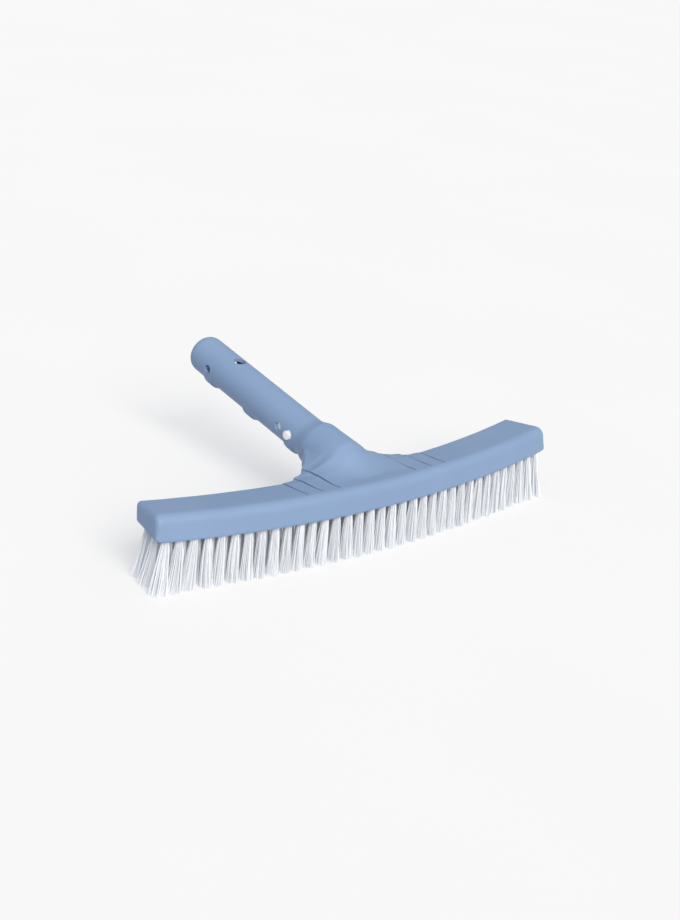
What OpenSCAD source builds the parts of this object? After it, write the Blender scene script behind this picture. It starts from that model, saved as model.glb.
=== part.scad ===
// Curved pool wall brush with a hollow pole spigot and a push-button spring clip.
//
// Frame: X runs along the brush, Y from the front edge back to the pole, Z up.
// The origin is on the plane of the bristle tips, under the middle tuft.
// The block follows an arc. Its ends sweep back towards the pole and, because the
// arc leans by arc_tilt, they lift a little too. The tips are trimmed to one plane.

/* [Block] */
// Length of the block along its front edge
block_len = 446; // [430:1:500]
// Radius of the arc that the front edge follows
arc_r = 1028; // [900:1:2000]
// Lean of the arc, which lifts the two ends
arc_tilt = 10; // [0:1:15]
// Width of the bristle face, front to back
face_w = 43; // [42:0.5:50]
// Height of the block at its front edge
front_h = 21.6; // [20:0.1:26]
// Height of the block at its back edge
back_h = 17.4; // [16:0.1:20]
// How far the front face leans back over its height
front_lean = 4.2; // [2:0.1:6]
// How far the back face leans out over its height
back_lean = 3.5; // [1:0.1:5]
// Radius of the front top edge
brow_r = 7; // [4:0.5:8]
// Radius of the back top edge
back_r = 3.5; // [2:0.5:4]
// Radius of the upright edges at the two ends
end_r = 4; // [2:0.5:6]

/* [Tufts] */
// Distance from tuft to tuft along a row
tuft_pitch = 12.5; // [12:0.1:13]
// Tufts in the first, third and fifth rows
tufts_per_row = 35; // [31:2:35]
// Number of rows
row_count = 5; // [5]
// Distance from row to row
row_pitch = 7.8; // [7:0.1:8]
// Distance from the front edge to the first row
row_inset = 6; // [5.5:0.1:7]
// Free length of the bristles at the middle of the brush
bristle_len = 41; // [30:1:50]
// Diameter of a drilled tuft hole
hole_d = 5.2; // [4.5:0.1:5.6]
// Depth of a drilled tuft hole
hole_deep = 11; // [8:0.5:12]
// Diameter of a tuft at its tip
tip_d = 7.4; // [6:0.1:8]

/* [Spigot] */
// Outer diameter of the spigot
spigot_d = 35.2; // [34:0.1:37]
// Wall thickness of the spigot
spigot_wall = 3.3; // [3:0.1:4]
// Angle of the spigot above the bristle face
spigot_rise = 10; // [6:1:14]
// Distance from the spigot's datum to its open end
spigot_len = 210.5; // [200:0.5:215]
// Distance from the datum to the top of the collar cone
collar_at = 46; // [44:1:50]
// Diameter of the collar
collar_d = 42.6; // [40:0.1:44]
// Diameter of the side holes for a bolt and for the view of the clip
side_hole_d = 8; // [7:0.1:8.5]
// Diameter of the side holes that the push buttons slide in
button_hole_d = 9.4; // [8.6:0.1:9.6]
// Diameter of the hole on top
top_hole_d = 11; // [9:0.1:12]
// How far the pads under the spigot stand out
pad_h = 3.3; // [1:0.1:4]

/* [Shoulders] */
// Distance from the middle to the end of each terrace
terrace_x = [43, 61.5, 78]; // [40:1:90]
// Distance from the block's front edge to the back of each terrace
terrace_back = [60, 54.5, 51.5]; // [48:0.5:64]
// Height of each terrace above the top of the block
terrace_up = [2.4, 1.6, 0.8]; // [0.5:0.1:3]

/* [Clip] */
// Thickness of the clip's strip
strip_t = 2.2; // [1.8:0.1:2.6]
// Width of the clip's strip
strip_w = 10; // [8:0.5:11]
// Diameter of a push button
button_d = 8; // [6:0.1:8.2]
// How far a button stands out of the spigot
button_out = 3; // [2:0.1:4]

/* [Hidden] */

$fn = 64;
// Fine enough for the long arc to stay within a hundredth of its true curve
arc_fn = 720;
// Overshoot of a cut past the face it opens
over = 1;

// Block
half_angle = block_len / arc_r * 90 / PI;
row_mid = row_inset + row_pitch * (row_count - 1) / 2;
toe_r = 0.8;
heel_r = 2;
top_slope = atan((front_h - back_h) / (face_w + back_lean - front_lean));

// Tufts
tuft_gap = 0.08;
staple_t = 0.5;
staple_h = 2;
staple_up = 7.4;
slot_gap = 0.1;

// Spigot, measured from a datum that lies behind the block, on the spigot's axis
datum = [0, 60, 16.5];
bore_r = spigot_d / 2 - spigot_wall;
bore_from = 32;
nose_r = 9;
collar_len = 14;
neck_at = 33;
bolt_at = 178;
top_hole_at = 156;
window_at = 71;
button_at = 56.5;
pad_at = [57, 118, 178];
pad_len = 14;
pad_edge = 2;

// Shoulders
terrace_front = 16;

// Clip
arm_x = bore_r - 2.8;
hinge_at = 104;
arm_end = 48;
joint_gap = 0.3;
button_dome = 1;

function unit(v) = v / norm(v);

// Points of the arc that rounds corner b of the outline a, b, c
function rounded(a, b, c, r, steps = 6) =
  let (
    p = unit(a - b),
    q = unit(c - b),
    half = acos(p * q) / 2,
    mid = b + unit(p + q) * r / sin(half),
    first = b + p * r / tan(half) - mid,
    start = atan2(first[1], first[0]),
    turn = sign(cross(b - a, c - b)) * (180 - 2 * half)
  )
  [for (i = [0 : steps]) mid + r * [cos(start + turn * i / steps), sin(start + turn * i / steps)]];

// Corners of the block's cross-section: toe, heel, back top and brow
toe = [0, 0];
heel = [face_w, 0];
back_top = [face_w + back_lean, back_h];
brow = [front_lean, front_h];

// Cross-section at the middle, with the front edge at the origin
module block_section() {
  polygon(concat(
    rounded(brow, toe, heel, toe_r),
    rounded(toe, heel, back_top, heel_r),
    rounded(heel, back_top, brow, back_r),
    rounded(back_top, brow, toe, brow_r)
  ));
}

// Moves a shape drawn from the front edge to its place over the bristle tips
module on_block() {
  translate([0, -row_mid, bristle_len]) children();
}

// Swings a shape that is drawn at the middle round the leaning arc
module at_station(angle) {
  centre = [0, arc_r * cos(arc_tilt), arc_r * sin(arc_tilt)];
  translate(centre) rotate([arc_tilt, 0, 0]) rotate([0, 0, angle])
    rotate([-arc_tilt, 0, 0]) translate(-centre) children();
}

// Puts a shape drawn along Z on the spigot's axis, with +Y pointing down
module on_spigot() {
  on_block() translate(datum) rotate([spigot_rise - 90, 0, 0]) children();
}

function tufts_in(row) = row % 2 == 1 ? tufts_per_row : tufts_per_row - 1;
function tuft_angle(row, i) =
  (i - (tufts_in(row) - 1) / 2) * tuft_pitch / arc_r * 180 / PI;

// Puts a shape at every tuft of a row
module along_row(row) {
  for (i = [0 : tufts_in(row) - 1])
    on_block() at_station(tuft_angle(row, i))
      translate([0, row_inset + row_pitch * (row - 1), 0]) children();
}

module block() {
  on_block() translate([0, arc_r * cos(arc_tilt), arc_r * sin(arc_tilt)])
    rotate([arc_tilt, 0, 0]) rotate([0, 0, -90 - half_angle])
      rotate_extrude(angle = 2 * half_angle, $fn = arc_fn)
        translate([arc_r, 0]) mirror([1, 0]) rotate(-arc_tilt) block_section();
}

// What the rounding takes off one upright edge at an end of the block
module end_corner(side, back) {
  reach = 3 * end_r;
  on_block() at_station(side * half_angle)
    translate([0, back ? face_w + back_lean : 0, -over])
      mirror([side < 0 ? 1 : 0, 0, 0]) mirror([0, back ? 1 : 0, 0])
        difference() {
          translate([-end_r, -reach, 0]) cube([reach, reach + end_r, front_h + 2 * over]);
          translate([-end_r, end_r, -over]) cylinder(r = end_r, h = front_h + 4 * over);
          translate([-3 * end_r, end_r, -over]) cube([2 * end_r, reach, front_h + 4 * over]);
        }
}

// One stepped wing on each side, from the neck down to the block: a slab that slopes down to the front with the top of the block
module terrace(k) {
  level = front_h - 1 + terrace_up[k];
  slope = tan(top_slope);
  back = terrace_back[k];
  on_block() translate([-terrace_x[k], 0, 0]) rotate([90, 0, 90])
    linear_extrude(2 * terrace_x[k])
      polygon([
        [terrace_front, 3],
        [back - 3, 3],
        [back, 6],
        [back, level - slope * back],
        [terrace_front + 8, level - slope * (terrace_front + 8)],
        [terrace_front, front_h - 1 - slope * terrace_front]
      ]);
}

// The tapering web between the collar and the block
module neck() {
  hull() {
    on_spigot() translate([0, 0, neck_at]) cylinder(d = collar_d, h = 1, $fn = 32);
    on_block() translate([-terrace_x[0], 24, 3]) cube([2 * terrace_x[0], 32, back_h - 3]);
    on_block() translate([-20, 26, 3]) cube([40, 20, front_h - 2.5]);
  }
}

module spigot_outside() {
  on_spigot() {
    translate([0, 0, neck_at - 8]) cylinder(d = spigot_d, h = spigot_len - neck_at + 8 - nose_r);
    translate([0, 0, spigot_len - nose_r]) rotate_extrude() {
      square([spigot_d / 2 - nose_r, nose_r]);
      intersection() {
        translate([spigot_d / 2 - nose_r, 0]) circle(r = nose_r);
        square([spigot_d, nose_r]);
      }
    }
    translate([0, 0, neck_at - 8]) cylinder(d = collar_d, h = collar_at - collar_len - neck_at + 8.5);
    translate([0, 0, collar_at - collar_len]) cylinder(d1 = collar_d, d2 = spigot_d, h = collar_len);
  }
}

// Crescent pads that take up the play in the pole's bore
module pads() {
  for (at = pad_at)
    on_spigot() translate([0, pad_h, at]) {
      cylinder(d = spigot_d - 0.4, h = pad_len - 2 * pad_edge, center = true);
      for (end = [0, 1]) mirror([0, 0, end])
        translate([0, 0, pad_len / 2 - pad_edge])
          cylinder(d1 = spigot_d - 0.4, d2 = spigot_d - 0.4 - 2 * pad_edge, h = pad_edge);
    }
}

// The moulding: block, stepped shoulders, neck, collar and hollow spigot
module brush_back() {
  color("lightsteelblue") difference() {
    union() {
      difference() {
        block();
        for (side = [-1, 1], back = [false, true]) end_corner(side, back);
      }
      for (k = [0 : 2]) terrace(k);
      neck();
      spigot_outside();
      pads();
    }
    for (row = [1 : row_count])
      along_row(row) translate([0, 0, -over]) cylinder(d = hole_d, h = hole_deep + over, $fn = 24);
    on_spigot() {
      translate([0, 0, bore_from]) cylinder(r = bore_r, h = spigot_len);
      for (at = [bolt_at, window_at])
        translate([0, 0, at]) rotate([0, 90, 0]) cylinder(d = side_hole_d, h = 2 * spigot_d, center = true);
      translate([0, 0, button_at]) rotate([0, 90, 0]) cylinder(d = button_hole_d, h = 2 * spigot_d, center = true);
      translate([0, 0, top_hole_at]) rotate([90, 0, 0]) cylinder(d = top_hole_d, h = spigot_d);
    }
  }
}

// Nylon tufts, folded over their staples and trimmed to one plane
module tufts(row) {
  root_d = hole_d - 2 * tuft_gap;
  reach = bristle_len + 10;
  color("white") difference() {
    along_row(row) difference() {
      union() {
        cylinder(d = root_d, h = hole_deep - tuft_gap, $fn = 24);
        mirror([0, 0, 1]) cylinder(d1 = root_d, d2 = tip_d, h = reach, $fn = 24);
      }
      translate([-hole_d, -staple_t / 2 - slot_gap, staple_up - slot_gap])
        cube([2 * hole_d, staple_t + 2 * slot_gap, staple_h + 2 * slot_gap]);
    }
    translate([-block_len, -block_len, -60]) cube([2 * block_len, 2 * block_len, 60]);
  }
}

// Flat wire staples, one across the fold of each tuft
module staples(row) {
  length = hole_d - tuft_gap;
  color("gainsboro") along_row(row)
    translate([-length / 2, -staple_t / 2, staple_up]) cube([length, staple_t, staple_h]);
}

// Half ring that joins the two arms of the clip
module clip_bend() {
  end = hinge_at + strip_t / 2 + joint_gap;
  color("whitesmoke") on_spigot() translate([0, 0, end]) rotate([90, 0, 0])
    difference() {
      cylinder(r = arm_x + strip_t / 2, h = strip_w, center = true);
      cylinder(r = arm_x - strip_t / 2, h = strip_w + 2 * over, center = true);
      translate([-spigot_d, -2 * spigot_d, -strip_w]) cube([2 * spigot_d, 2 * spigot_d, 2 * strip_w]);
    }
}

// One arm of the clip, with its push button at the free end
module clip_arm(side) {
  stem = spigot_d / 2 + button_out - button_dome - arm_x;
  color("whitesmoke") on_spigot() mirror([side < 0 ? 1 : 0, 0, 0]) {
    translate([arm_x - strip_t / 2, -strip_w / 2, arm_end]) cube([strip_t, strip_w, hinge_at - arm_end]);
    translate([arm_x, 0, hinge_at]) rotate([90, 0, 0]) cylinder(d = strip_t, h = strip_w, center = true);
    translate([arm_x, 0, button_at]) rotate([0, 90, 0]) {
      cylinder(d = button_d, h = stem);
      translate([0, 0, stem]) cylinder(d1 = button_d, d2 = button_d - 2 * button_dome, h = button_dome);
    }
  }
}

brush_back();
tufts(1);  // tufts_row_1
tufts(2);  // tufts_row_2
tufts(3);  // tufts_row_3
tufts(4);  // tufts_row_4
tufts(5);  // tufts_row_5
staples(1);  // staples_row_1
staples(2);  // staples_row_2
staples(3);  // staples_row_3
staples(4);  // staples_row_4
staples(5);  // staples_row_5
clip_bend();
clip_arm(-1);  // clip_arm_left
clip_arm(1);  // clip_arm_right
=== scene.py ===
import random
from math import cos, hypot, pi, radians, sin, sqrt, tan

import bmesh
import bpy
from mathutils import Matrix, Vector


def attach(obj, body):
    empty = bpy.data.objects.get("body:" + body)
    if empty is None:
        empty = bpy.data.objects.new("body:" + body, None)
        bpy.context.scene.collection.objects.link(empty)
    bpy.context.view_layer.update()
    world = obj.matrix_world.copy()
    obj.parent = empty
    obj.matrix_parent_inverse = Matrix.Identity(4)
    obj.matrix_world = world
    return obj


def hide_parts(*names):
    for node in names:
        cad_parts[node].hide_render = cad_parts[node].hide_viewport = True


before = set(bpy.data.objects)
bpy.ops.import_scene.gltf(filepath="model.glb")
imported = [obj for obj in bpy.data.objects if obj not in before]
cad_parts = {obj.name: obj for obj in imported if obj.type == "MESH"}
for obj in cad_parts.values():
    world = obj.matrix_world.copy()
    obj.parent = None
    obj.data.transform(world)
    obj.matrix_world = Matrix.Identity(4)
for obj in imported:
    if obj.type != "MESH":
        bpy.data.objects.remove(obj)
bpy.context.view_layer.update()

# ---------------------------------------------------------------- camera
# The brush is seen from above its front left corner, with the long block running
# away to the right and the pole spigot pointing up to the left.
MM = 0.001
camera_place = Vector((-968.5, -979.6, 623.3)) * MM
camera_forward = Vector((0.6385, 0.6740, -0.3715))
camera_up = Vector((0.1684, 0.3487, 0.9220))

camera_data = bpy.data.cameras.new("camera")
camera_data.sensor_fit = "VERTICAL"
camera_data.sensor_height = 36.0
camera_data.lens = 68.9
camera = bpy.data.objects.new("camera", camera_data)
bpy.context.scene.collection.objects.link(camera)
back = -camera_forward.normalized()
right = camera_up.cross(back).normalized()
camera.matrix_world = Matrix((
    (right.x, back.cross(right).x, back.x, camera_place.x),
    (right.y, back.cross(right).y, back.y, camera_place.y),
    (right.z, back.cross(right).z, back.z, camera_place.z),
    (0, 0, 0, 1),
))
bpy.context.scene.camera = camera

# ---------------------------------------------------------------- moulding
# The back of the brush is one solid injection moulding in light blue polypropylene.
# The block follows a leaning arc; a neck with three stepped shoulders on each side
# carries the hollow spigot, which is drilled for the clip's push buttons.
BLOCK_LENGTH = 446
ARC_RADIUS = 1028
ARC_LEAN = radians(10)
FACE_WIDTH = 43
FRONT_HEIGHT = 21.6
BACK_HEIGHT = 17.4
FRONT_LEAN = 4.2
BACK_LEAN = 3.5
BRISTLE_LENGTH = 41
END_ANGLE = BLOCK_LENGTH / ARC_RADIUS / 2

SPIGOT_RISE = radians(10)
SPIGOT_FOOT = Vector((0, 60, 16.5))
SPIGOT_RADIUS = 17.6
BORE_RADIUS = 14.3
COLLAR_RADIUS = 21.3
SPIGOT_LENGTH = 210.5

TUFT_ROWS = 5
LONG_ROW = 35
TUFT_PITCH = 12.5
ROW_PITCH = 7.8
ROW_INSET = 6
ROW_MIDDLE = ROW_INSET + ROW_PITCH * (TUFT_ROWS - 1) / 2
TUFT_HOLE_RADIUS = 2.6
TUFT_HOLE_DEPTH = 11

# From a drawing in millimetres that starts at the block's front edge to the brush in metres
on_block = Matrix.Scale(MM, 4) @ Matrix.Translation((0, -ROW_MIDDLE, BRISTLE_LENGTH))


def round_the_arc(angle):
    """The turn that swings a shape drawn at the middle of the block to a place along it."""
    centre = Vector((0, ARC_RADIUS * cos(ARC_LEAN), ARC_RADIUS * sin(ARC_LEAN)))
    turn = (Matrix.Rotation(ARC_LEAN, 4, "X") @ Matrix.Rotation(angle, 4, "Z")
            @ Matrix.Rotation(-ARC_LEAN, 4, "X"))
    return Matrix.Translation(centre) @ turn @ Matrix.Translation(-centre)


def along_spigot(distance):
    """From a drawing with +Z along the spigot and +Y down to its place that far along it."""
    return (on_block @ Matrix.Translation(SPIGOT_FOOT)
            @ Matrix.Rotation(SPIGOT_RISE - pi / 2, 4, "X") @ Matrix.Translation((0, 0, distance)))


def tuft_places(row):
    """The turn along the arc of every tuft in a row; every other row is staggered and one short."""
    count = LONG_ROW - row % 2
    return [(i - (count - 1) / 2) * TUFT_PITCH / ARC_RADIUS for i in range(count)]


def row_distance(row):
    return ROW_INSET + ROW_PITCH * row


def merged(bm):
    bmesh.ops.remove_doubles(bm, verts=bm.verts, dist=1e-6)
    bmesh.ops.recalc_face_normals(bm, faces=bm.faces)


def add_to(bm, shape):
    """Puts a drawn shape in its place and adds it to the moulding."""
    shape.transform(on_block)
    passed_on = bpy.data.meshes.new("passed on")
    shape.to_mesh(passed_on)
    shape.free()
    bm.from_mesh(passed_on)
    bpy.data.meshes.remove(passed_on)


def piece_from(bm, name):
    """A new object at the origin that holds the shape."""
    mesh = bpy.data.meshes.new(name)
    bm.to_mesh(mesh)
    bm.free()
    piece = bpy.data.objects.new(name, mesh)
    bpy.context.scene.collection.objects.link(piece)
    return piece


# The corners of the block's cross-section, by distance from the front edge and height, and
# how far each one's rounding reaches along its sides
SECTION = [(0, 0, 1), (FACE_WIDTH, 0, 2.4), (FACE_WIDTH + BACK_LEAN, BACK_HEIGHT, 3.2),
           (FRONT_LEAN, FRONT_HEIGHT, 7.2)]
SECTION_COPIES = 150
END_ROUNDING = 4.5


def make_block(bm):
    """The block: its cross-section, with rounded corners, spun along the leaning arc."""
    shape = bmesh.new()
    corners = [shape.verts.new((0, u, w)) for u, w, _ in SECTION]
    shape.faces.new(corners)
    for corner, (_, _, rounding) in zip(corners, SECTION):
        bmesh.ops.bevel(shape, geom=[corner], offset=rounding, segments=6, profile=0.5,
                        affect="VERTICES", material=-1)
    centre = Vector((0, ARC_RADIUS * cos(ARC_LEAN), ARC_RADIUS * sin(ARC_LEAN)))
    axis = Matrix.Rotation(ARC_LEAN, 3, "X") @ Vector((0, 0, 1))
    bmesh.ops.rotate(shape, verts=shape.verts, cent=centre,
                     matrix=Matrix.Rotation(-END_ANGLE, 3, axis))
    bmesh.ops.spin(shape, geom=shape.verts[:] + shape.edges[:] + shape.faces[:], cent=centre,
                   axis=axis, angle=2 * END_ANGLE, steps=SECTION_COPIES, use_duplicate=False)
    merged(shape)
    ends = [f for f in shape.faces if len(f.verts) > 8]
    rims = [e for f in ends for e in f.edges]
    bmesh.ops.bevel(shape, geom=rims, offset=END_ROUNDING, segments=5, profile=0.5,
                    affect="EDGES", material=-1)
    add_to(bm, shape)


# The fan of shoulders between the neck and the block: its half-width by distance from the
# front edge. Behind each shoulder it steps in to the next one, which reaches further back.
FAN_EDGE = [(14, 84), (45, 84), (46.6, 78.8), (49, 78), (50.2, 70), (51, 62.6), (54.2, 61),
            (56, 53), (60, 47), (62.4, 43.8), (66, 42.2), (69.5, 37.5), (74, 33), (81, 26.5),
            (90, 21)]
FAN_FRONT = FAN_EDGE[0][0]
FAN_DEPTH = FAN_EDGE[-1][0] - FAN_FRONT
FAN_UNDERSIDE = 3
UNDERSIDE_TILT = 0.1
# Each shoulder's outer edge, by distance from the middle, and how far it stands up there
SHOULDERS = [(43, 2.2), (61.5, 1.4), (78, 0.7)]
SHOULDER_DIP = 0.45
# The shoulders' plate comes out of the block's top over a length, and droops behind the block
PLATE_START = 15
PLATE_RUN = 26
PLATE_SINK = 0.9
DROOP_START = 44
PLATE_DROOP = 0.25
# Towards the front the neck's ridge dives into the block, more steeply past each distance
RIDGE_DIVE = ((56, 0.42), (46, 0.16))
RIDGE_ROUND = 12
ROOF_CURVE = 1.35
TUBE_FILLET = 7
PLATE_FILLET = 8


def along(points, at):
    """The value between the points of a table at a place."""
    for (a, va), (b, vb) in zip(points, points[1:]):
        if at <= b:
            t = max(at - a, 0) / (b - a)
            return va + (vb - va) * t
    return points[-1][1]


def soft_max(a, b, reach):
    """The larger of two heights, blended as a fillet of about that reach."""
    h = max(reach - abs(a - b), 0) / reach
    return max(a, b) + h * h * reach / 4


def block_top(x, u):
    """Height of the block's own sloping top."""
    sweep = x * x / (2 * ARC_RADIUS)
    slope = (FRONT_HEIGHT - BACK_HEIGHT) / (FACE_WIDTH + BACK_LEAN - FRONT_LEAN)
    return FRONT_HEIGHT - slope * (u - sweep * cos(ARC_LEAN) - FRONT_LEAN) + sweep * sin(ARC_LEAN)


def fan_top(x, u):
    """Height of the shoulders and the neck over the block's underside."""
    side = abs(x)
    fade = min(max((u - PLATE_START) / PLATE_RUN, 0), 1)
    # each shoulder is highest at its outer edge and dips towards the next one in
    lift, inner = -PLATE_SINK, 0
    for edge, rise in SHOULDERS:
        if side < edge:
            dip = (edge - side) / (edge - inner) if inner else 0
            lift = rise * (1 - SHOULDER_DIP * dip)
            break
        inner = edge
    plate = block_top(x, u) - PLATE_SINK * (1 - fade) + lift * fade
    plate -= PLATE_DROOP * max(u - DROOP_START, 0)
    middle = SPIGOT_FOOT.z + (u - SPIGOT_FOOT.y) * tan(SPIGOT_RISE)
    ridge = middle + COLLAR_RADIUS / cos(SPIGOT_RISE)
    ridge -= sum(steepness * max(start - u, 0) for start, steepness in RIDGE_DIVE)
    # the collar's round tube runs on into a broad roof that falls to the shoulders
    slack = hypot(side, RIDGE_ROUND) - RIDGE_ROUND
    out = min(slack / (along(FAN_EDGE, max(u, 52)) - RIDGE_ROUND / 2), 1)
    roof = ridge - 2 - (ridge - middle + 1) * (1 - (1 - out) ** ROOF_CURVE)
    across = min(side / COLLAR_RADIUS, 1)
    tube = ridge - COLLAR_RADIUS * (1 - sqrt(1 - across * across))
    return soft_max(plate, soft_max(roof, tube, TUBE_FILLET), PLATE_FILLET)


def make_fan(bm):
    """The shoulders and the neck: a sheet shaped by its heights, closed down into the block."""
    sheet = bmesh.new()
    bmesh.ops.create_grid(sheet, x_segments=168, y_segments=76, size=1)
    for v in sheet.verts:
        u = FAN_FRONT + (v.co.y + 1) / 2 * FAN_DEPTH
        x = v.co.x * along(FAN_EDGE, u)
        v.co = (x, u, fan_top(x, u))
    top = sheet.faces[:]
    down = bmesh.ops.extrude_face_region(sheet, geom=top)
    # its underside lies inside the block, and tilts up a little behind it
    for v in [g for g in down["geom"] if isinstance(g, bmesh.types.BMVert)]:
        v.co.z = FAN_UNDERSIDE + max(v.co.y - FACE_WIDTH - 3, 0) * UNDERSIDE_TILT
    merged(sheet)
    add_to(bm, sheet)


def make_turned(bm, profile, place, sides=72):
    """A solid turned round the spigot's axis from (distance, radius) steps."""
    rings = []
    for distance, radius in profile:
        ring = bmesh.ops.create_circle(bm, cap_ends=False, segments=sides, radius=radius,
                                       matrix=place @ Matrix.Translation((0, 0, distance)))
        rings.append(ring["verts"])
    def edges_of(ring):
        inside = set(ring)
        return [e for v in ring for e in v.link_edges if e.other_vert(v) in inside]
    for one, two in zip(rings, rings[1:]):
        bmesh.ops.bridge_loops(bm, edges=list(set(edges_of(one) + edges_of(two))))
    bm.faces.new(rings[0])
    bm.faces.new(rings[-1])


# The collar runs down to the spigot, which ends in a rounded rim. Three crescent pads stand
# out of its underside, each a short disc sunk into the wall.
COLLAR = [(22, COLLAR_RADIUS - 2), (25, COLLAR_RADIUS), (32, COLLAR_RADIUS),
          (36, COLLAR_RADIUS - 0.6), (42, SPIGOT_RADIUS + 1), (47, SPIGOT_RADIUS)]
RIM_ROUNDING = 9
RIM = [(SPIGOT_LENGTH - RIM_ROUNDING + RIM_ROUNDING * sin(a * pi / 12),
        SPIGOT_RADIUS - RIM_ROUNDING + RIM_ROUNDING * cos(a * pi / 12)) for a in range(7)]
PAD = [(-7, 15.2), (-5, 17.2), (5, 17.2), (7, 15.2)]
PAD_PLACES = (57, 118, 178)
PAD_DROP = 3.3

body = bmesh.new()
make_block(body)
make_fan(body)
make_turned(body, COLLAR + RIM, along_spigot(0))
for place in PAD_PLACES:
    make_turned(body, PAD, along_spigot(place) @ Matrix.Translation((0, PAD_DROP, 0)), 48)
bmesh.ops.recalc_face_normals(body, faces=body.faces)
moulding = piece_from(body, "moulding")

fused = moulding.modifiers.new("one moulding", "REMESH")
fused.mode = "VOXEL"
fused.voxel_size = 1.07 * MM
fused.use_smooth_shade = True
eased = moulding.modifiers.new("fillets", "SMOOTH")
eased.factor = 0.5
eased.iterations = 4

# Round cuts: the bore and the tuft holes first, then the holes across the spigot
BORE_START = 32
PAST_THE_WALL = 10


def drill(bm, radius, depth, sides, place):
    bmesh.ops.create_cone(bm, cap_ends=True, segments=sides, radius1=radius, radius2=radius,
                          depth=depth, matrix=place)


cuts = bmesh.new()
bore_end = SPIGOT_LENGTH + PAST_THE_WALL
drill(cuts, BORE_RADIUS, bore_end - BORE_START, 64, along_spigot((bore_end + BORE_START) / 2))
for row in range(TUFT_ROWS):
    for angle in tuft_places(row):
        mouth = on_block @ round_the_arc(angle) @ Matrix.Translation((0, row_distance(row), -2))
        drill(cuts, TUFT_HOLE_RADIUS, TUFT_HOLE_DEPTH + 2, 12,
              mouth @ Matrix.Translation((0, 0, (TUFT_HOLE_DEPTH + 2) / 2)))
bore_and_tuft_holes = piece_from(cuts, "bore and tuft holes")

# Bolt holes, window holes and button holes, and the one hole on top
SIDE_HOLES = ((178, 4), (71, 4), (56.5, 4.7))
TOP_HOLE = 156
TOP_HOLE_RADIUS = 5.5
cuts = bmesh.new()
for distance, radius in SIDE_HOLES:
    drill(cuts, radius, 60, 32, along_spigot(distance) @ Matrix.Rotation(pi / 2, 4, "Y"))
drill(cuts, TOP_HOLE_RADIUS, 20, 40, along_spigot(TOP_HOLE) @ Matrix.Translation((0, -16, 0))
      @ Matrix.Rotation(pi / 2, 4, "X"))
cross_holes = piece_from(cuts, "cross holes")

# The fine line at the foot of each shoulder, deepest and widest where it opens at the back
GROOVE_DEPTH = 7.6
GROOVE_START = 2.0
GROOVE_WIDTH = 1.3
GROOVE_MOUTH = 2.2
GROOVE_FRONT = 14.5
GROOVE_BACK = 65
cuts = bmesh.new()
for edge, rise in SHOULDERS:
    for side in (-1, 1):
        blade = bmesh.ops.create_cube(cuts, size=1)
        for v in blade["verts"]:
            if v.co.y < 0:
                u, width, depth = GROOVE_FRONT, GROOVE_WIDTH, GROOVE_START
            else:
                u, width, depth = GROOVE_BACK, GROOVE_MOUTH, GROOVE_DEPTH
            surface = block_top(edge, u) + 0.8 * rise
            v.co = (side * edge + v.co.x * width, u,
                    surface - depth if v.co.z < 0 else surface + 6)
bmesh.ops.recalc_face_normals(cuts, faces=cuts.faces)
cuts.transform(on_block)
grooves = piece_from(cuts, "grooves")

for cutter in (bore_and_tuft_holes, cross_holes, grooves):
    cut = moulding.modifiers.new(cutter.name, "BOOLEAN")
    cut.operation = "DIFFERENCE"
    cut.object = cutter
    cut.solver = "EXACT"

finished = bpy.data.meshes.new_from_object(
    moulding.evaluated_get(bpy.context.evaluated_depsgraph_get()))
moulding.modifiers.clear()
moulding.data = finished
for cutter in (bore_and_tuft_holes, cross_holes, grooves):
    bpy.data.objects.remove(cutter)

crisp = bmesh.new()
crisp.from_mesh(finished)
for f in crisp.faces:
    f.smooth = True
for e in crisp.edges:
    if len(e.link_faces) == 2 and e.calc_face_angle(0) > radians(38):
        e.smooth = False
crisp.to_mesh(finished)
crisp.free()
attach(moulding, "brush")
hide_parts("brush_back")

# One satin plastic for the whole moulding: faint flow marks, a fine moulded grain and
# slightly paler edges where it has been handled and rubbed. The plain effects that the
# other pieces' materials share are node groups.
def new_group(name, wanted, given):
    """An empty node group with its input and output sockets."""
    group = bpy.data.node_groups.new(name, "ShaderNodeTree")
    for socket, kind in wanted:
        group.interface.new_socket(socket, in_out="INPUT", socket_type=kind)
    for socket, kind in given:
        group.interface.new_socket(socket, in_out="OUTPUT", socket_type=kind)
    return (group, group.nodes.new("NodeGroupInput").outputs,
            group.nodes.new("NodeGroupOutput").inputs)


# Patchy: a soft noise whose middle range is stretched to run from Low to High
patchy, wanted, given = new_group(
    "patchy", [("Vector", "NodeSocketVector"), ("Scale", "NodeSocketFloat"),
               ("Detail", "NodeSocketFloat"), ("Low", "NodeSocketFloat"),
               ("High", "NodeSocketFloat")], [("Value", "NodeSocketFloat")])
noise = patchy.nodes.new("ShaderNodeTexNoise")
noise.inputs["Roughness"].default_value = 0.55
stretch = patchy.nodes.new("ShaderNodeMapRange")
stretch.inputs["From Min"].default_value = 0.3
stretch.inputs["From Max"].default_value = 0.7
for socket in ("Vector", "Scale", "Detail"):
    patchy.links.new(wanted[socket], noise.inputs[socket])
patchy.links.new(noise.outputs["Fac"], stretch.inputs["Value"])
patchy.links.new(wanted["Low"], stretch.inputs["To Min"])
patchy.links.new(wanted["High"], stretch.inputs["To Max"])
patchy.links.new(stretch.outputs["Result"], given["Value"])

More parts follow.
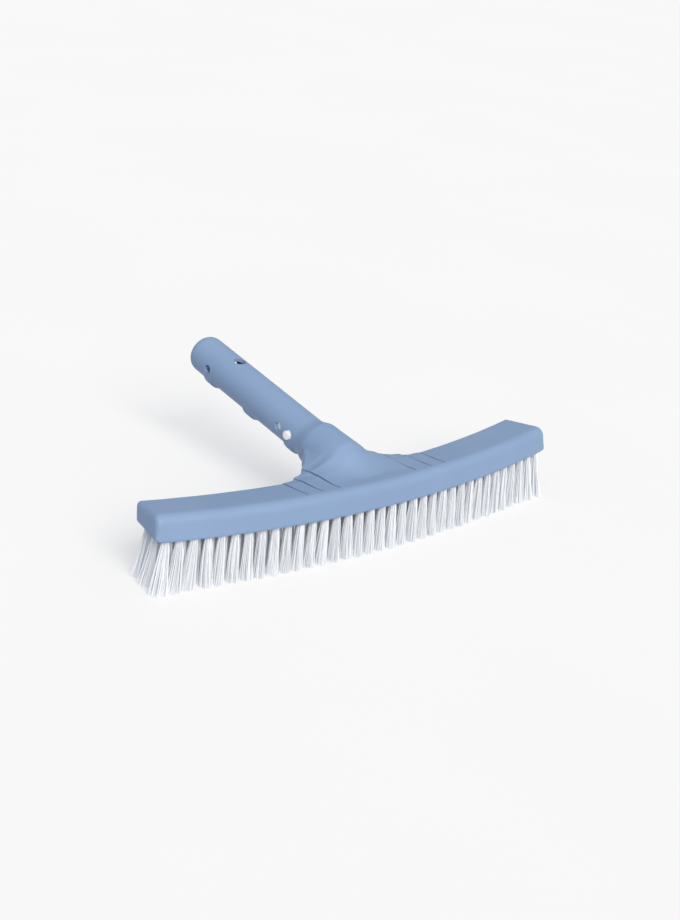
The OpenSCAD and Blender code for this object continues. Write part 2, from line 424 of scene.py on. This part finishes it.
# Moulded grain: the fine texture of the mould's wall
grain, wanted, given = new_group(
    "moulded grain", [("Vector", "NodeSocketVector"), ("Scale", "NodeSocketFloat"),
                      ("Depth", "NodeSocketFloat"), ("Strength", "NodeSocketFloat")],
    [("Normal", "NodeSocketVector")])
noise = grain.nodes.new("ShaderNodeTexNoise")
noise.inputs["Detail"].default_value = 2
noise.inputs["Roughness"].default_value = 0.55
dents = grain.nodes.new("ShaderNodeBump")
grain.links.new(wanted["Vector"], noise.inputs["Vector"])
grain.links.new(wanted["Scale"], noise.inputs["Scale"])
grain.links.new(wanted["Depth"], dents.inputs["Distance"])
grain.links.new(wanted["Strength"], dents.inputs["Strength"])
grain.links.new(noise.outputs["Fac"], dents.inputs["Height"])
grain.links.new(dents.outputs["Normal"], given["Normal"])


def placed(tree, group, spot, **values):
    """The first output of a node group placed in a material with its own values."""
    node = tree.nodes.new("ShaderNodeGroup")
    node.node_tree = group
    tree.links.new(spot, node.inputs["Vector"])
    for socket, value in values.items():
        node.inputs[socket].default_value = value
    return node.outputs[0]


def shader_tree(name):
    """A new material with its tree, its Principled shader and its object coordinates."""
    material = bpy.data.materials.new(name)
    material.use_nodes = True
    tree = material.node_tree
    coordinates = tree.nodes.new("ShaderNodeTexCoord")
    return material, tree, tree.nodes["Principled BSDF"], coordinates.outputs["Object"]


def blend(tree, mask, one, two):
    """From the first colour to the second where the mask is high."""
    node = tree.nodes.new("ShaderNodeMix")
    node.data_type = "RGBA"
    tree.links.new(mask, node.inputs["Factor"])
    for socket, colour in ((node.inputs[6], one), (node.inputs[7], two)):
        if isinstance(colour, tuple):
            socket.default_value = (*colour, 1)
        else:
            tree.links.new(colour, socket)
    return node.outputs[2]


def curved_from(tree, flat, sharp):
    """A mask that rises from one value of the surface's pointiness to another."""
    node = tree.nodes.new("ShaderNodeMapRange")
    node.inputs["From Min"].default_value = flat
    node.inputs["From Max"].default_value = sharp
    tree.links.new(tree.nodes.new("ShaderNodeNewGeometry").outputs["Pointiness"],
                   node.inputs["Value"])
    return node.outputs["Result"]


BLUE_DEEP = (0.213, 0.312, 0.484)
BLUE_PALE = (0.232, 0.334, 0.510)
BLUE_RUBBED = (0.34, 0.43, 0.58)
# a shaded blue, painted into the grooves and inner corners where shade falls
PAINTED_GROOVE_SHADE = (0.10, 0.17, 0.29)
blue_plastic, tree, shader, spot = shader_tree("light blue moulding")
flow = placed(tree, patchy, spot, Scale=14, Detail=2, Low=0, High=1)
tone = blend(tree, flow, BLUE_DEEP, BLUE_PALE)
# edges are rubbed pale in patches, and painted shade darkens the grooves and inner corners
handled = tree.nodes.new("ShaderNodeTexNoise")
handled.inputs["Scale"].default_value = 90
handled.inputs["Detail"].default_value = 4
tree.links.new(spot, handled.inputs["Vector"])
rubbed = tree.nodes.new("ShaderNodeMath")
rubbed.operation = "MULTIPLY"
tree.links.new(curved_from(tree, 0.52, 0.62), rubbed.inputs[0])
tree.links.new(handled.outputs["Fac"], rubbed.inputs[1])
tone = blend(tree, rubbed.outputs["Value"], tone, BLUE_RUBBED)
# painted shade: darker where the surface curves inwards, in the grooves and inner corners
tone = blend(tree, curved_from(tree, 0.47, 0.40), tone, PAINTED_GROOVE_SHADE)
tree.links.new(tone, shader.inputs["Base Color"])
tree.links.new(placed(tree, patchy, spot, Scale=60, Detail=3, Low=0.42, High=0.52),
               shader.inputs["Roughness"])
tree.links.new(placed(tree, grain, spot, Scale=2600, Depth=0.00004, Strength=0.5),
               shader.inputs["Normal"])
shader.inputs["Specular IOR Level"].default_value = 0.3
shader.inputs["Subsurface Weight"].default_value = 0.06
shader.inputs["Subsurface Radius"].default_value = (0.6, 0.8, 1.0)
shader.inputs["Subsurface Scale"].default_value = 0.002
moulding.data.materials.clear()
moulding.data.materials.append(blue_plastic)

# ---------------------------------------------------------------- bristles
# Each tuft is a bundle of nylon filaments, folded double and stapled into its drilled
# hole. The bundles fan out a little from their holes and are trimmed to one plane;
# the outermost ones have splayed with use.
FILAMENTS = 76
FILAMENT_RADIUS = 0.29
GOLDEN_TURN = 2.399963
ROOT_RADIUS = 2.15
ROOT_DEPTH = 4
TIP_SPREAD = 3.0
TUFT_KINDS = 7
# How unevenly the filaments end up: off their line, bowed and cut short, and how much
# further the few strays go
OFF_LINE = 0.42
BOW = 0.28
CUT_SHORT = 0.012
STRAY_SHARE = 0.06
STRAY_MORE = 2.4
# How early a bundle opens out, and how late the whole tuft bends over
OPENING_CURVE = 0.7
BENDING_CURVE = 1.8
# How far the last tufts of a row lean outwards, and how much fuller their tips are
END_SPLAY = (3.6, 2.4, 1.2)
END_FULLER = (0.55, 0.35, 0.15)
# The front row leans a little forward and the rear row a little back
ROW_LEAN = (1.4, 0, 0, 0, -1.4)
# How far the tufts differ from each other in their lean, sideways and forward
SPLAY_UNEVEN = 0.5
LEAN_UNEVEN = 0.4
NYLON_SHADE = (0.86, 0.89, 0.94)
NYLON_WHITE = (0.94, 0.96, 0.99)

pick = random.Random(41)
nylon, tree, shader, spot = shader_tree("white nylon")
streak = placed(tree, patchy, spot, Scale=420, Detail=2, Low=0, High=1)
tree.links.new(blend(tree, streak, NYLON_SHADE, NYLON_WHITE),
               shader.inputs["Base Color"])
tree.links.new(placed(tree, patchy, spot, Scale=900, Detail=2, Low=0.36, High=0.52),
               shader.inputs["Roughness"])
# a weak emission stands for the light that the clear filaments pass on
shader.inputs["Emission Color"].default_value = (0.93, 0.96, 1.0, 1)
shader.inputs["Emission Strength"].default_value = 0.02
shader.inputs["Subsurface Weight"].default_value = 0.25
shader.inputs["Subsurface Radius"].default_value = (1.0, 1.0, 1.0)
shader.inputs["Subsurface Scale"].default_value = 0.002
shader.inputs["Specular IOR Level"].default_value = 0.4

one = bmesh.new()
bmesh.ops.create_cone(one, cap_ends=True, segments=3, radius1=FILAMENT_RADIUS,
                      radius2=FILAMENT_RADIUS, depth=1)
for height in (-0.25, 0.0, 0.25):
    bmesh.ops.bisect_plane(one, geom=one.verts[:] + one.edges[:] + one.faces[:],
                           plane_co=(0, 0, height), plane_no=(0, 0, 1))
bmesh.ops.translate(one, verts=one.verts, vec=(0, 0, 0.5))
filament = bpy.data.meshes.new("filament")
one.to_mesh(filament)
one.free()


def bundle(kind):
    """One tuft of filaments, from its root at 0 to its trimmed tips at 1."""
    bm = bmesh.new()
    for k in range(FILAMENTS):
        have = len(bm.verts)
        bm.from_mesh(filament)
        bm.verts.ensure_lookup_table()
        turn = k * GOLDEN_TURN
        out = Vector((cos(turn), sin(turn), 0)) * sqrt((k + 0.5) / FILAMENTS)
        stray = Vector((pick.gauss(0, OFF_LINE), pick.gauss(0, OFF_LINE), 0))
        if pick.random() < STRAY_SHARE:
            stray *= STRAY_MORE
        bow = Vector((pick.gauss(0, BOW), pick.gauss(0, BOW), 0))
        cut = 1 - CUT_SHORT * abs(pick.gauss(0, 1))
        turned = pick.uniform(0, pi)
        for v in bm.verts[have:]:
            t = v.co.z
            ring = Matrix.Rotation(turned, 3, "Z") @ Vector((v.co.x, v.co.y, 0))
            v.co = (out * ROOT_RADIUS + (out * TIP_SPREAD + stray) * t ** OPENING_CURVE
                    + bow * sin(pi * t) + ring + Vector((0, 0, t * cut)))
    mesh = bpy.data.meshes.new(f"tuft {kind}")
    bm.to_mesh(mesh)
    bm.free()
    return mesh


kinds = [bundle(k) for k in range(TUFT_KINDS)]
for row in range(TUFT_ROWS):
    brush_row = bmesh.new()
    places = tuft_places(row)
    for number, angle in enumerate(places):
        place = (round_the_arc(angle) @ Matrix.Translation((0, row_distance(row), ROOT_DEPTH))
                 @ Matrix.Rotation(pi, 4, "X") @ Matrix.Rotation(pick.uniform(0, 2 * pi), 4, "Z"))
        # its tips end on the plane that all of them are trimmed to
        down = round_the_arc(angle).to_3x3() @ Vector((0, 0, -1))
        reach = (BRISTLE_LENGTH + place.translation.z) / -down.z
        from_end = min(number, len(places) - 1 - number)
        splay, fuller = 0, 0
        if from_end < len(END_SPLAY):
            splay = END_SPLAY[from_end] * (1 if angle > 0 else -1)
            fuller = END_FULLER[from_end]
        splay += pick.gauss(0, SPLAY_UNEVEN)
        forward = ROW_LEAN[row] + pick.gauss(0, LEAN_UNEVEN)
        have = len(brush_row.verts)
        brush_row.from_mesh(kinds[pick.randrange(TUFT_KINDS)])
        brush_row.verts.ensure_lookup_table()
        for v in brush_row.verts[have:]:
            t = v.co.z
            wide = 1 + fuller * t
            p = place @ Vector((v.co.x * wide, v.co.y * wide, t * reach))
            bend = t ** BENDING_CURVE
            p += Vector((splay * bend, -forward * bend, 0))
            p.z = max(p.z, -BRISTLE_LENGTH + 0.02)
            v.co = on_block @ p
    bristles = piece_from(brush_row, f"bristle_row_{row + 1}")
    bristles.data.materials.append(nylon)
    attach(bristles, "brush")
    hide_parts(f"tufts_row_{row + 1}")
for mesh in kinds + [filament]:
    bpy.data.meshes.remove(mesh)

# ---------------------------------------------------------------- staples
# A short piece of flat steel wire holds the fold of each tuft in its hole. It is plain
# drawn steel, and next to nothing of it shows past the bristles.
STEEL_DULL = (0.50, 0.50, 0.51)
STEEL_BRIGHT = (0.62, 0.62, 0.62)
steel, tree, shader, spot = shader_tree("staple wire")
drawn = placed(tree, patchy, spot, Scale=500, Detail=3, Low=0, High=1)
tree.links.new(blend(tree, drawn, STEEL_DULL, STEEL_BRIGHT),
               shader.inputs["Base Color"])
tree.links.new(placed(tree, patchy, spot, Scale=1500, Detail=2, Low=0.28, High=0.42),
               shader.inputs["Roughness"])
shader.inputs["Metallic"].default_value = 1.0
for row in range(TUFT_ROWS):
    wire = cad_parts[f"staples_row_{row + 1}"]
    wire.data.materials.clear()
    wire.data.materials.append(steel)

# ---------------------------------------------------------------- spring clip
# A bent strip of white acetal sits inside the spigot. Its two arms press outwards and
# carry the round push buttons that snap into the pole.
ACETAL_SHADE = (0.44, 0.45, 0.47)
ACETAL_WHITE = (0.49, 0.50, 0.51)
acetal, tree, shader, spot = shader_tree("white acetal")
milky = placed(tree, patchy, spot, Scale=120, Detail=3, Low=0, High=1)
tree.links.new(blend(tree, milky, ACETAL_SHADE, ACETAL_WHITE),
               shader.inputs["Base Color"])
tree.links.new(placed(tree, patchy, spot, Scale=400, Detail=2, Low=0.24, High=0.36),
               shader.inputs["Roughness"])
tree.links.new(placed(tree, grain, spot, Scale=1800, Depth=0.00003, Strength=0.4),
               shader.inputs["Normal"])
shader.inputs["Subsurface Weight"].default_value = 0.3
shader.inputs["Subsurface Scale"].default_value = 0.003
# a painted glow: much of its white is emission, which keeps it bright in the shade of the spigot,
# over colours only about half as bright as the real strip
shader.inputs["Emission Color"].default_value = (0.90, 0.95, 1.0, 1)
shader.inputs["Emission Strength"].default_value = 0.36
for name in ("clip_bend", "clip_arm_left", "clip_arm_right"):
    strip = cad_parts[name]
    strip.data.materials.clear()
    strip.data.materials.append(acetal)

# ---------------------------------------------------------------- studio
# A wide pale floor and a bright even surround, with one broad soft light that comes
# over the viewer's right shoulder.
bm = bmesh.new()
bmesh.ops.create_grid(bm, x_segments=2, y_segments=2, size=30)
floor = piece_from(bm, "floor")
paper, tree, shader, spot = shader_tree("pale paper")
mottled = placed(tree, patchy, spot, Scale=3, Detail=2, Low=0, High=1)
tree.links.new(blend(tree, mottled, (0.50, 0.50, 0.50), (0.51, 0.51, 0.51)),
               shader.inputs["Base Color"])
# nearly half of its brightness is emission, as on a light table, to keep the shadows faint
shader.inputs["Emission Color"].default_value = (0.945, 0.945, 0.945, 1)
shader.inputs["Emission Strength"].default_value = 0.44
shader.inputs["Roughness"].default_value = 1.0
shader.inputs["Specular IOR Level"].default_value = 0.0
floor.data.materials.append(paper)
# bounce from the floor is left out, so that the undersides keep their shade
floor.visible_diffuse = False

surround = bpy.data.worlds.new("surround")
bpy.context.scene.world = surround
surround.use_nodes = True
sky = surround.node_tree.nodes["Background"]
sky.inputs["Color"].default_value = (0.90, 0.97, 1.08, 1)
sky.inputs["Strength"].default_value = 0.5

softbox = bpy.data.lights.new("softbox", "SUN")
softbox.energy = 3.0
softbox.color = (1.0, 0.94, 0.855)
softbox.angle = radians(40)
lamp = bpy.data.objects.new("softbox", softbox)
lamp.rotation_euler = Vector((-0.35, -0.95, 0.8)).to_track_quat("Z", "Y").to_euler()
bpy.context.scene.collection.objects.link(lamp)

bpy.context.scene.view_settings.view_transform = "Standard"
